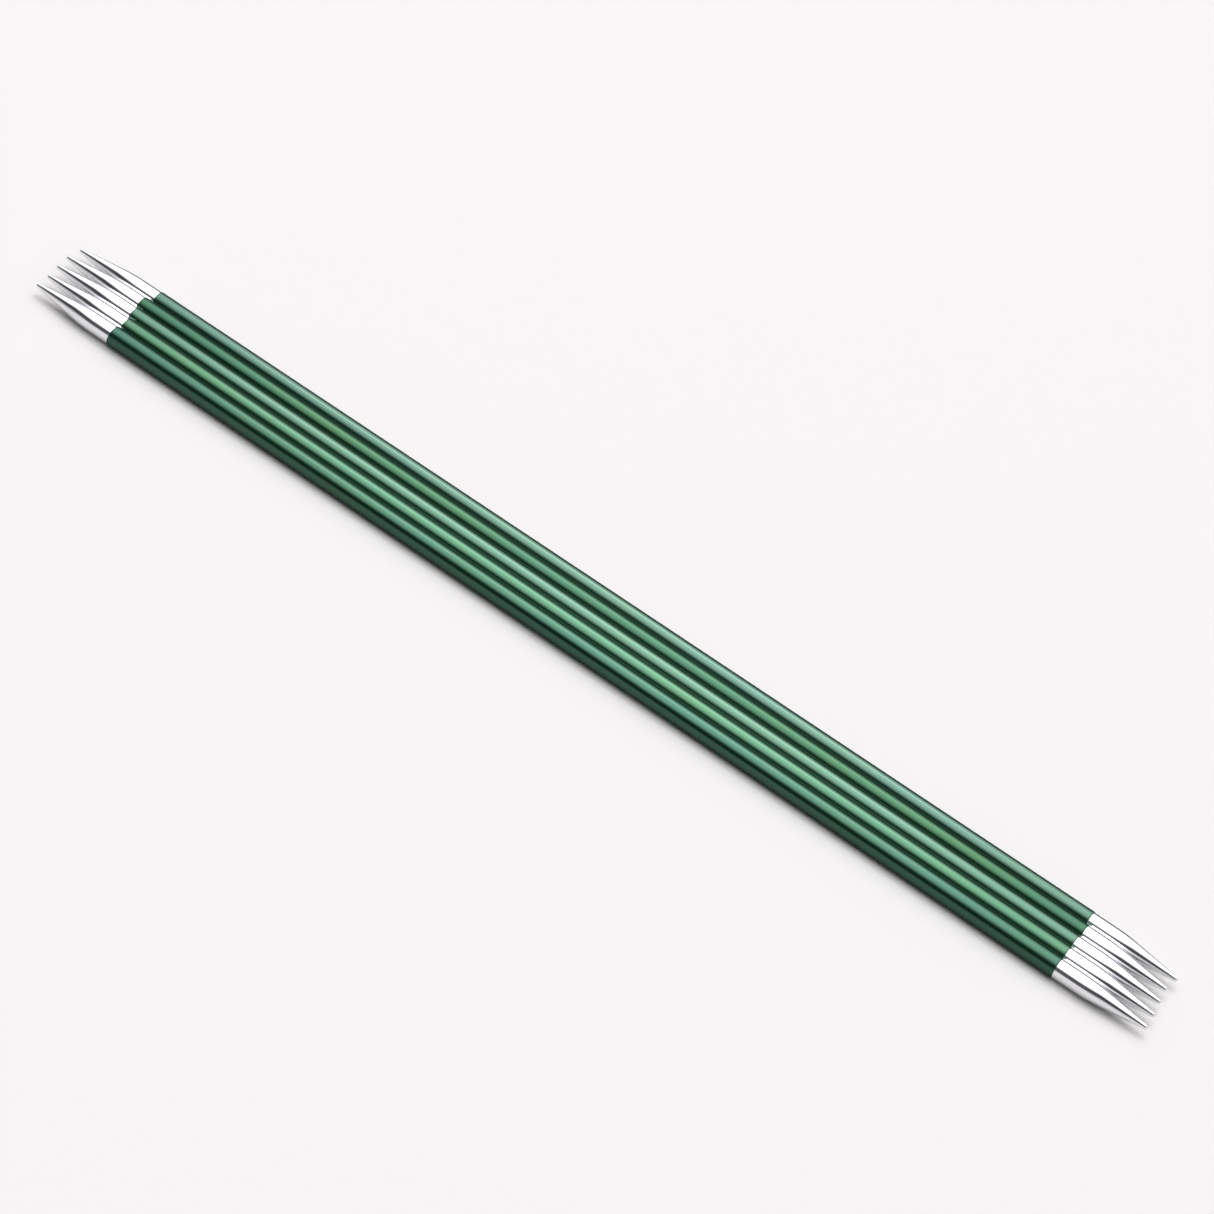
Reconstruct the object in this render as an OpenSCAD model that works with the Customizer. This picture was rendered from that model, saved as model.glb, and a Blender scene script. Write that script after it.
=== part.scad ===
// Double pointed knitting needles, five loose ones lying side by side on a table.
// X runs along the needles, Y runs from the front needle (1) to the back needle (5), Z is up.
// The origin is on the table, under the middle of the set.
// Each needle is an anodised tube with a turned tip pressed into each end.

/* [Needle] */
// Overall length of a needle, from point to point
needle_len = 200; // [150:5:250]
// Outside diameter of the tube, which is the needle's gauge
shaft_d = 3.25; // [2.5:0.25:3.5]
// Bare length of a tip that is seated least, from the tube's end to the point
tip_len = 15.1; // [14.9:0.2:18]

/* [Tube] */
// Wall thickness
wall = 0.4; // [0.4:0.05:0.5]
// Rounding of the outside edge at each end
edge_round = 0.2; // [0.05:0.05:0.2]
// Lead-in chamfer at the mouth of the bore
mouth_chamfer = 0.1; // [0.05:0.05:0.15]

/* [Tip] */
// Step from the tube's surface down to the neck of the tip
neck_step = 0.05; // [0.05:0.01:0.1]
// Half angle of the taper, in degrees
taper_angle = 7.4; // [7:0.2:9]
// Radius of the long curve that leads from the neck into the taper
blend_r = 30; // [20:1:36]
// Radius of the blunt point
point_r = 0.38; // [0.3:0.02:0.5]

/* [Spigot] */
// Length of the spigot that is pressed into the tube
spigot_len = 8; // [5:0.5:15]
// Interference of the press fit, on the radius
press = 0.01; // [0:0.005:0.02]
// Lead-in chamfer at the inner end
spigot_chamfer = 0.3; // [0.1:0.1:0.5]
// Depth of the ring groove that holds the adhesive
groove_depth = 0.1; // [0.05:0.05:0.2]
// Width of the ring groove at its mouth
groove_w = 1.2; // [0.8:0.1:2]

/* [Set] */
// Gap between neighbouring needles
needle_gap = 0.03; // [0.02:0.01:0.3]
// Endways shift of needle 1, the front one
shift_1 = 0.85; // [-2:0.05:2]
// Endways shift of needle 2
shift_2 = 0.45; // [-2:0.05:2]
// Endways shift of needle 3
shift_3 = -0.25; // [-2:0.05:2]
// Endways shift of needle 4
shift_4 = -0.85; // [-2:0.05:2]
// Endways shift of needle 5, the back one
shift_5 = -0.75; // [-2:0.05:2]

/* [Seating] */
// How much further the tube of needle 1 reaches over its left tip, which is seated deeper
left_1 = 0.4; // [0:0.05:1]
// The same, for needle 2
left_2 = 0.15; // [0:0.05:1]
// The same, for needle 3
left_3 = 0.4; // [0:0.05:1]
// The same, for needle 4
left_4 = 0.7; // [0:0.05:1]
// The same, for needle 5
left_5 = 0.15; // [0:0.05:1]
// How much further the tube of needle 1 reaches over its right tip, which is seated deeper
right_1 = 0; // [0:0.05:1]
// The same, for needle 2
right_2 = 0.1; // [0:0.05:1]
// The same, for needle 3
right_3 = 0.45; // [0:0.05:1]
// The same, for needle 4
right_4 = 0.9; // [0:0.05:1]
// The same, for needle 5
right_5 = 0.05; // [0:0.05:1]

/* [Hidden] */
needle_count = 5;

middle_needle = 3;
shaft_colour = "#1f7a4f";
tip_colour = "#e6e7ea";

shaft_r = shaft_d / 2;
bore_r = shaft_r - wall;
neck_r = shaft_r - neck_step;
spigot_r = bore_r + press;
pitch = shaft_d + needle_gap;
half_tube = needle_len / 2 - tip_len;
shifts = [shift_1, shift_2, shift_3, shift_4, shift_5];
left_seats = [left_1, left_2, left_3, left_4, left_5];
right_seats = [right_1, right_2, right_3, right_4, right_5];
round_fn = 96;
arc_steps = 8;

function shaft_name(k) = str("needle_", k, "_shaft");
function tip_name(k, side) = str("needle_", k, "_", side, "_tip");

// Where the tube of needle k ends, counted from the middle of its needle
function left_end(k) = half_tube + left_seats[k - 1];
function right_end(k) = half_tube + right_seats[k - 1];

// Where the axis of needle k crosses the middle of the set
function needle_at(k) = [shifts[k - 1], (k - middle_needle) * pitch, shaft_r];

// Points on an arc of radius r about c, from angle a0 to angle a1
function arc(c, r, a0, a1) =
    [for (i = [0:arc_steps]) let (a = a0 + (a1 - a0) * i / arc_steps) c + r * [cos(a), sin(a)]];

// Length of the taper, from the end of the neck to the very point:
// the long blend curve, the straight cone, and the cap beyond the cone
function taper_len() =
    let (
        wide_r = neck_r - blend_r * (1 - cos(taper_angle)),
        narrow_r = point_r * cos(taper_angle)
    )
    blend_r * sin(taper_angle)
    + (wide_r - narrow_r) / tan(taper_angle)
    + point_r * (1 - sin(taper_angle));

// Half section of the tube, from z0 to z1, as [radius, height] points
function tube_section(z0, z1) = concat(
    [[bore_r, z0 + mouth_chamfer], [bore_r + mouth_chamfer, z0]],
    arc([shaft_r - edge_round, z0 + edge_round], edge_round, -90, 0),
    arc([shaft_r - edge_round, z1 - edge_round], edge_round, 0, 90),
    [[bore_r + mouth_chamfer, z1], [bore_r, z1 - mouth_chamfer]]
);

// Half section of the spigot, below the shoulder at height 0
function spigot_section() =
    let (groove_mid = -spigot_len / 2, floor_w = groove_w - 2 * groove_depth)
    [
        [0, -spigot_len],
        [spigot_r - spigot_chamfer, -spigot_len],
        [spigot_r, -spigot_len + spigot_chamfer],
        [spigot_r, groove_mid - groove_w / 2],
        [spigot_r - groove_depth, groove_mid - floor_w / 2],
        [spigot_r - groove_depth, groove_mid + floor_w / 2],
        [spigot_r, groove_mid + groove_w / 2],
        [spigot_r, 0]
    ];

// Half section of the bare part of a tip, above the shoulder
function bare_section(bare) = concat(
    [[neck_r, 0]],
    arc([neck_r - blend_r, bare - taper_len()], blend_r, 0, taper_angle),
    arc([0, bare - point_r], point_r, taper_angle, 90)
);

// The anodised tube of needle k
module shaft(k) {
    color(shaft_colour)
    translate(needle_at(k))
    rotate([0, 90, 0])
    rotate_extrude($fn = round_fn)
    polygon(tube_section(-left_end(k), right_end(k)));
}

// A turned tip standing up from its shoulder
module tip(bare) {
    color(tip_colour)
    rotate_extrude($fn = round_fn)
    polygon(concat(spigot_section(), bare_section(bare)));
}

module left_tip(k) {
    translate(needle_at(k) - [left_end(k), 0, 0])
    rotate([0, -90, 0])
    tip(needle_len / 2 - left_end(k));
}

module right_tip(k) {
    translate(needle_at(k) + [right_end(k), 0, 0])
    rotate([0, 90, 0])
    tip(needle_len / 2 - right_end(k));
}

for (k = [1:needle_count]) {
    shaft(k);
    left_tip(k);
    right_tip(k);
}
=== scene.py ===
import math

import bpy
from mathutils import Matrix, Vector


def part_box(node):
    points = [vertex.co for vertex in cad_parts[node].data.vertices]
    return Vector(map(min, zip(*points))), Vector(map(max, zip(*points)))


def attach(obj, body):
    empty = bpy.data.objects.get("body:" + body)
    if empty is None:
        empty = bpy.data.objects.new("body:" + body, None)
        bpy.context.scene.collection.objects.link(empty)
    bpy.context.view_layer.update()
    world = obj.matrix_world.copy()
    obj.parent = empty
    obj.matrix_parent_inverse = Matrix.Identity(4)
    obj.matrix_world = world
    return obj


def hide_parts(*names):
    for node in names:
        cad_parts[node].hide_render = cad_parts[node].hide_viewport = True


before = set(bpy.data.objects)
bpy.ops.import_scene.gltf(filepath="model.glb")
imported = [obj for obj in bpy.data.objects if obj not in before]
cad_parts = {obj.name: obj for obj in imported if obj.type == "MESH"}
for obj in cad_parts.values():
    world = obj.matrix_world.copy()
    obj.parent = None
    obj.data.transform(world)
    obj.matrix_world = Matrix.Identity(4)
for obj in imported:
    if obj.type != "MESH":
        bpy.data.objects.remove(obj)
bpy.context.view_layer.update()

MM = 0.001
NEEDLES = range(1, 6)
SIDES = {"left": -1, "right": 1}

# The turned shapes, as the frame has them, in millimetres
SHAFT_R = 1.625
WALL = 0.4
MOUTH_CHAMFER = 0.1
EDGE_ROUND = 0.2
NECK_R = 1.575
TAPER_DEG = 7.4
BLEND_R = 30.0
POINT_R = 0.38
SPIGOT_LEN = 8.0
SPIGOT_CHAMFER = 0.3
GROOVE_DEPTH = 0.1
GROOVE_W = 1.2

# Each needle's dye, from its bluest to its yellowest green, and how much sheen its clear skin has
DYE_LOTS = {
    1: ("#1D4B3A", "#204C35", 0.54),
    2: ("#22563B", "#255737", 0.76),
    3: ("#21533C", "#235439", 1.0),
    4: ("#1B4933", "#1F4B2C", 0.46),
    5: ("#1F4F3D", "#225038", 1.0),
}

# How finely the shapes are turned, and the sharpest turn that is still shaded smooth
SEGMENTS = 96
EDGE_STEPS = 6
BLEND_STEPS = 16
POINT_STEPS = 10
SHARP_DEG = 28
ON_AXIS_MM = 1e-6

# How many patches or marks a metre, along a needle and across it, and how deep the marks are
DRIFT_SCALE = (60, 90, 90)
DRIFT_APART = 3.7
DRIFT_ENDS = (0.34, 0.66)
GRAIN_SCALE = (6500, 260, 260)
RING_SCALE = (9000, 120, 120)
MARK_DEPTH = 0.01 * MM

# From face on (0) to edge on (1): where a tube's sheen starts to go, where it stops going, and
# what share of it is left
SHEEN_FROM = 0.55
SHEEN_TO = 0.95
SHEEN_LEFT = 0.1


# ---------------------------------------------------------------- turned shapes

def arc(cx, cr, radius, start_deg, end_deg, steps):
    """Points (x, r) on an arc about (cx, cr); 0 degrees points away from the axis, 90 along it."""
    points = []
    for i in range(steps + 1):
        a = math.radians(start_deg + (end_deg - start_deg) * i / steps)
        points.append((cx + radius * math.sin(a), cr + radius * math.cos(a)))
    return points


def tube_profile(length):
    """The tube's closed section: outside wall, eased edges, end walls, chamfered mouths and bore."""
    half = length / 2
    bore = SHAFT_R - WALL
    edge = EDGE_ROUND
    return [
        *arc(-half + edge, SHAFT_R - edge, edge, -90, 0, EDGE_STEPS),
        *arc(half - edge, SHAFT_R - edge, edge, 0, 90, EDGE_STEPS),
        (half, bore + MOUTH_CHAMFER),
        (half - MOUTH_CHAMFER, bore),
        (-half + MOUTH_CHAMFER, bore),
        (-half, bore + MOUTH_CHAMFER),
    ]


def taper_length():
    """From the end of the neck to the very point."""
    a = math.radians(TAPER_DEG)
    wide = NECK_R - BLEND_R * (1 - math.cos(a))
    narrow = POINT_R * math.cos(a)
    return BLEND_R * math.sin(a) + (wide - narrow) / math.tan(a) + POINT_R * (1 - math.sin(a))


def tip_profile(bare):
    """The tip's section from the inner end of its spigot to its point, with the shoulder at 0."""
    spigot = SHAFT_R - WALL
    mid = -SPIGOT_LEN / 2
    floor = spigot - GROOVE_DEPTH
    return [
        (-SPIGOT_LEN, 0),
        (-SPIGOT_LEN, spigot - SPIGOT_CHAMFER),
        (-SPIGOT_LEN + SPIGOT_CHAMFER, spigot),
        (mid - GROOVE_W / 2, spigot),
        (mid - GROOVE_W / 2 + GROOVE_DEPTH, floor),
        (mid + GROOVE_W / 2 - GROOVE_DEPTH, floor),
        (mid + GROOVE_W / 2, spigot),
        (0, spigot),
        (0, NECK_R),
        *arc(bare - taper_length(), NECK_R - BLEND_R, BLEND_R, 0, TAPER_DEG, BLEND_STEPS),
        *arc(bare - POINT_R, 0, POINT_R, TAPER_DEG, 90, POINT_STEPS),
    ]


def turned(name, profile, origin, direction, closed=False):
    """A solid turned about X: profile in mm from origin, pointing along direction (1 or -1)."""
    verts, faces, rings = [], [], []
    for x, r in profile:
        along = origin.x + direction * x * MM
        if r < ON_AXIS_MM:
            rings.append([len(verts)])
            verts.append((along, origin.y, origin.z))
            continue
        rings.append(list(range(len(verts), len(verts) + SEGMENTS)))
        for i in range(SEGMENTS):
            a = direction * 2 * math.pi * i / SEGMENTS
            verts.append((along, origin.y + r * MM * math.sin(a), origin.z + r * MM * math.cos(a)))
    pairs = list(zip(rings, rings[1:]))
    if closed:
        pairs.append((rings[-1], rings[0]))
    for near, far in pairs:
        for i in range(SEGMENTS):
            j = (i + 1) % SEGMENTS
            if len(near) == 1:
                faces.append((near[0], far[j], far[i]))
            elif len(far) == 1:
                faces.append((near[i], near[j], far[0]))
            else:
                faces.append((near[i], near[j], far[j], far[i]))
    mesh = bpy.data.meshes.new(name)
    mesh.from_pydata(verts, [], faces)
    mesh.validate()
    mesh.shade_smooth()
    mesh.set_sharp_from_angle(angle=math.radians(SHARP_DEG))
    piece = bpy.data.objects.new(name, mesh)
    bpy.context.scene.collection.objects.link(piece)
    return piece


# ---------------------------------------------------------------- materials

def linear(hex_colour):
    """An sRGB hex colour as linear RGBA."""
    values = [int(hex_colour[i:i + 2], 16) / 255 for i in (1, 3, 5)]
    return (*[v / 12.92 if v <= 0.04045 else ((v + 0.055) / 1.055) ** 2.4 for v in values], 1)


def add(owner, kind, settings=None, links=None):
    """Adds a node to a material or world, with its settings, colour stops and links."""
    node = owner.node_tree.nodes.new(kind)
    for key, value in (settings or {}).items():
        if key == "stops":
            elements = node.color_ramp.elements
            while len(elements) < len(value):
                elements.new(1.0)
            for element, (position, colour) in zip(elements, value):
                element.position = position
                element.color = colour
        elif isinstance(key, str) and hasattr(node, key):
            setattr(node, key, value)
        else:
            node.inputs[key].default_value = value
    for key, output in (links or {}).items():
        owner.node_tree.links.new(output, node.inputs[key])
    return node


def new_material(name):
    material = bpy.data.materials.new(name)
    material.use_nodes = True
    material.node_tree.nodes.clear()
    return material


def anodised_tube(k):
    """Drawn aluminium tube, polished, dyed green and sealed: a deep metallic colour under a clear
    skin that lays a paler, almost white sheen over the highlights."""
    blue_dye, yellow_dye, skin_weight = DYE_LOTS[k]
    m = new_material(f"green anodised drawn aluminium, tube {k}")
    place = add(m, "ShaderNodeTexCoord").outputs["Object"]
    # The dye takes a little unevenly: slow drifts along the tube between a bluer and a yellower green
    drift_at = add(m, "ShaderNodeMapping",
                   {"Scale": DRIFT_SCALE, "Location": (k * DRIFT_APART, 0, 0)},
                   {"Vector": place})
    drift = add(m, "ShaderNodeTexNoise", {"Scale": 1.0, "Detail": 2.0},
                {"Vector": drift_at.outputs[0]})
    dyes = [linear(blue_dye), linear(yellow_dye)]
    colour = add(m, "ShaderNodeValToRGB", {"stops": list(zip(DRIFT_ENDS, dyes))},
                 {"Fac": drift.outputs["Fac"]})
    # Polishing marks round the tube; the real ones are a few hundredths of a millimetre apart,
    # and these are drawn 0.15 mm apart so that they show
    grain_at = add(m, "ShaderNodeMapping", {"Scale": GRAIN_SCALE}, {"Vector": place})
    grain = add(m, "ShaderNodeTexNoise", {"Scale": 1.0, "Detail": 3.0},
                {"Vector": grain_at.outputs[0]})
    bump = add(m, "ShaderNodeBump", {"Strength": 0.12, "Distance": MARK_DEPTH},
               {"Height": grain.outputs["Fac"]})
    rough = add(m, "ShaderNodeMapRange", {"To Min": 0.23, "To Max": 0.31},
                {"Value": grain.outputs["Fac"]})
    # Seen edge on, the skin is too fine grained to shine and the dye still colours the metal
    rim = add(m, "ShaderNodeLayerWeight", {"Blend": 0.5}).outputs["Facing"]
    sheen = add(m, "ShaderNodeMapRange",
                {"From Min": SHEEN_FROM, "From Max": SHEEN_TO,
                 "To Min": skin_weight, "To Max": SHEEN_LEFT * skin_weight},
                {"Value": rim})
    skin = add(m, "ShaderNodeBsdfPrincipled",
               {"Metallic": 1.0, "Specular Tint": linear("#B9C5C1"), "Coat Roughness": 0.12,
                "Coat IOR": 1.54},
               {"Base Color": colour.outputs["Color"], "Roughness": rough.outputs["Result"],
                "Normal": bump.outputs["Normal"], "Coat Weight": sheen.outputs["Result"]})
    add(m, "ShaderNodeOutputMaterial", {}, {"Surface": skin.outputs[0]})
    return m


def bright_tip():
    """Aluminium turned to shape and polished: near white, with fine rings left by the tool."""
    m = new_material("bright turned polished aluminium")
    place = add(m, "ShaderNodeTexCoord").outputs["Object"]
    # Rings about 0.1 mm apart, the feed of a fine finishing cut, almost polished away
    rings_at = add(m, "ShaderNodeMapping", {"Scale": RING_SCALE}, {"Vector": place})
    rings = add(m, "ShaderNodeTexNoise", {"Scale": 1.0, "Detail": 2.0},
                {"Vector": rings_at.outputs[0]})
    bump = add(m, "ShaderNodeBump", {"Strength": 0.01, "Distance": MARK_DEPTH},
               {"Height": rings.outputs["Fac"]})
    rough = add(m, "ShaderNodeMapRange", {"To Min": 0.1, "To Max": 0.12},
                {"Value": rings.outputs["Fac"]})
    skin = add(m, "ShaderNodeBsdfPrincipled",
               {"Base Color": linear("#E6E6E8"), "Metallic": 1.0},
               {"Roughness": rough.outputs["Result"], "Normal": bump.outputs["Normal"]})
    add(m, "ShaderNodeOutputMaterial", {}, {"Surface": skin.outputs[0]})
    return m


def table_top():
    """Matt card, pale warm grey."""
    m = new_material("matt pale card")
    skin = add(m, "ShaderNodeBsdfPrincipled",
               {"Base Color": linear("#CBCAC7"), "Roughness": 0.9, "Specular IOR Level": 0.2})
    add(m, "ShaderNodeOutputMaterial", {}, {"Surface": skin.outputs[0]})
    return m


# ---------------------------------------------------------------- pieces

def middle(node):
    low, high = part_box(node)
    return (low + high) / 2


def build_needle(k, tube_skin, tip_skin):
    body = f"needle_{k}"
    shaft = f"{body}_shaft"
    low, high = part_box(shaft)
    axis = middle(shaft)
    axis.z = SHAFT_R * MM
    piece = turned(f"{body}_tube", tube_profile((high.x - low.x) / MM), axis, 1, closed=True)
    piece.data.materials.append(tube_skin)
    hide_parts(shaft)
    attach(piece, body)
    for side, direction in SIDES.items():
        node = f"{body}_{side}_tip"
        tip_low, tip_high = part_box(node)
        shoulder = Vector((high.x if direction > 0 else low.x, axis.y, axis.z))
        point = tip_high.x if direction > 0 else tip_low.x
        bare = abs(point - shoulder.x) / MM
        piece = turned(f"{body}_{side}_point", tip_profile(bare), shoulder, direction)
        piece.data.materials.append(tip_skin)
        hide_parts(node)
        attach(piece, body)


tip_skin = bright_tip()
for k in NEEDLES:
    build_needle(k, anodised_tube(k), tip_skin)


# ---------------------------------------------------------------- table, light, camera

# How far the table reaches from the middle, in metres
TABLE_HALF = 6.0

# How bright the room is, going up from the front horizon (0 degrees) over the top to the back (180)
ROOM_LEVELS = [(0, 1.0), (3, 0.5), (7, 0.14), (35, 0.08), (42, 0.5), (48, 1.3), (55, 2.3),
               (63, 3.2), (73, 4.0), (84, 4.5), (95, 4.5), (117, 4.0), (127, 3.2), (138, 2.1),
               (148, 0.9), (157, 0.25), (166, 0.05), (180, 0.0)]
ROOM_PEAK = 4.5
ROOM_TINT = (0.99, 0.98, 1.02)
# The light comes mostly from across the needles, a little to their left, and fades towards
# their ends
ROOM_SIDE = 0.2
ROOM_FADE = -5.0
# How much higher the dark opening at the front stands towards both ends
ROOM_DIP = -0.7
# Pale walls off both ends of the needles, by how far the view leans along them (-1 to 1),
# and how bright they are at the foot and how much brighter higher up
END_WALLS = [(-1, 1), (-0.85, 1), (-0.68, 0), (0.3, 0), (0.5, 1), (1, 1)]
END_WALL_FOOT = 0.35
END_WALL_RISE = 1.0

# The strip softbox: its angle up from the front horizon, distance, place along the needles and size
STRIP_DEG = 111
STRIP_FAR = 1.15
STRIP_X = -0.33
STRIP_LENGTH = 0.54
STRIP_WIDTH = 0.28
STRIP_RADIANCE = 3.0
STRIP_TINT = (1.0, 0.98, 0.96)

# The camera: direction from the target and roll in degrees, distance in metres, target on the table
CAMERA_AZIMUTH = 19.04
CAMERA_ELEVATION = 35.36
CAMERA_ROLL = 22.37
CAMERA_DISTANCE = 0.7503
CAMERA_TARGET_MM = (-1.13, 7.45, 0)
CAMERA_LENS_MM = 151.64
CAMERA_SENSOR_MM = 36
CAMERA_CLIP = 0.05


def build_table():
    mesh = bpy.data.meshes.new("table")
    half = TABLE_HALF
    mesh.from_pydata([(-half, -half, 0), (half, -half, 0), (half, half, 0), (-half, half, 0)],
                     [], [(0, 1, 2, 3)])
    table = bpy.data.objects.new("table", mesh)
    bpy.context.scene.collection.objects.link(table)
    mesh.materials.append(table_top())


def tinted(brightness):
    """Light of this brightness in the room's tint, as RGBA."""
    return [brightness * tint for tint in ROOM_TINT] + [1]


def build_room():
    """A pale surround with a dark opening low at the front, and pale walls off both ends."""
    world = bpy.data.worlds.new("studio")
    world.use_nodes = True
    world.node_tree.nodes.clear()
    place = add(world, "ShaderNodeTexCoord").outputs["Generated"]
    parts = add(world, "ShaderNodeSeparateXYZ", {}, {"Vector": place})
    front = add(world, "ShaderNodeMath", {"operation": "MULTIPLY", 1: -1.0},
                {0: parts.outputs["Y"]})
    turn = add(world, "ShaderNodeMath", {"operation": "ARCTAN2"},
               {0: parts.outputs["Z"], 1: front.outputs[0]})
    share = add(world, "ShaderNodeMath", {"operation": "DIVIDE", 1: math.pi},
                {0: turn.outputs[0]})
    offset = add(world, "ShaderNodeMath", {"operation": "ADD", 1: ROOM_SIDE},
                 {0: parts.outputs["X"]})
    square = add(world, "ShaderNodeMath", {"operation": "MULTIPLY"},
                 {0: offset.outputs[0], 1: offset.outputs[0]})
    height = add(world, "ShaderNodeMath", {"operation": "MULTIPLY_ADD", 1: ROOM_DIP},
                 {0: square.outputs[0], 2: share.outputs[0]})
    room_stops = [(degrees / 180, tinted(brightness / ROOM_PEAK))
                  for degrees, brightness in ROOM_LEVELS]
    level = add(world, "ShaderNodeValToRGB", {"stops": room_stops}, {"Fac": height.outputs[0]})
    fall = add(world, "ShaderNodeMath", {"operation": "MULTIPLY", 1: ROOM_FADE},
               {0: square.outputs[0]})
    fade = add(world, "ShaderNodeMath", {"operation": "EXPONENT"}, {0: fall.outputs[0]})
    strength = add(world, "ShaderNodeMath", {"operation": "MULTIPLY", 1: ROOM_PEAK},
                   {0: fade.outputs[0]})
    glow = add(world, "ShaderNodeBackground", {},
               {"Color": level.outputs["Color"], "Strength": strength.outputs[0]})
    lean = add(world, "ShaderNodeMath", {"operation": "MULTIPLY_ADD", 1: 0.5, 2: 0.5},
               {0: parts.outputs["X"]})
    wall_stops = [((x + 1) / 2, tinted(brightness)) for x, brightness in END_WALLS]
    walls = add(world, "ShaderNodeValToRGB", {"stops": wall_stops}, {"Fac": lean.outputs[0]})
    rise = add(world, "ShaderNodeMath",
               {"operation": "MULTIPLY_ADD", "use_clamp": True,
                1: END_WALL_RISE, 2: END_WALL_FOOT},
               {0: parts.outputs["Z"]})
    bounce = add(world, "ShaderNodeBackground", {},
                 {"Color": walls.outputs["Color"], "Strength": rise.outputs[0]})
    both = add(world, "ShaderNodeAddShader", {}, {0: glow.outputs[0], 1: bounce.outputs[0]})
    add(world, "ShaderNodeOutputWorld", {}, {"Surface": both.outputs[0]})
    bpy.context.scene.world = world


def build_softbox():
    """A long strip softbox overhead, behind the needles and lying along them."""
    light = bpy.data.lights.new("softbox", "AREA")
    light.shape = "RECTANGLE"
    light.size = STRIP_LENGTH
    light.size_y = STRIP_WIDTH
    light.energy = STRIP_RADIANCE * math.pi * light.size * light.size_y
    light.color = STRIP_TINT
    lamp = bpy.data.objects.new("softbox", light)
    back = math.radians(STRIP_DEG - 90)
    lamp.location = (STRIP_X, STRIP_FAR * math.sin(back), STRIP_FAR * math.cos(back))
    lamp.rotation_euler = (-back, 0, 0)
    bpy.context.scene.collection.objects.link(lamp)


def build_camera():
    azimuth = math.radians(CAMERA_AZIMUTH)
    elevation = math.radians(CAMERA_ELEVATION)
    roll = math.radians(CAMERA_ROLL)
    target = Vector(CAMERA_TARGET_MM) * MM
    back = Vector((math.sin(azimuth) * math.cos(elevation),
                   -math.cos(azimuth) * math.cos(elevation), math.sin(elevation)))
    level = Vector((math.cos(azimuth), math.sin(azimuth), 0))
    upright = back.cross(level)
    right = math.cos(roll) * level + math.sin(roll) * upright
    up = back.cross(right)
    data = bpy.data.cameras.new("camera")
    data.lens = CAMERA_LENS_MM
    data.sensor_width = CAMERA_SENSOR_MM
    data.clip_start = CAMERA_CLIP
    camera = bpy.data.objects.new("camera", data)
    turn = Matrix((right, up, back)).transposed().to_4x4()
    camera.matrix_world = Matrix.Translation(target + back * CAMERA_DISTANCE) @ turn
    bpy.context.scene.collection.objects.link(camera)
    bpy.context.scene.camera = camera


build_table()
build_room()
build_softbox()
build_camera()
bpy.context.scene.view_settings.view_transform = "Standard"
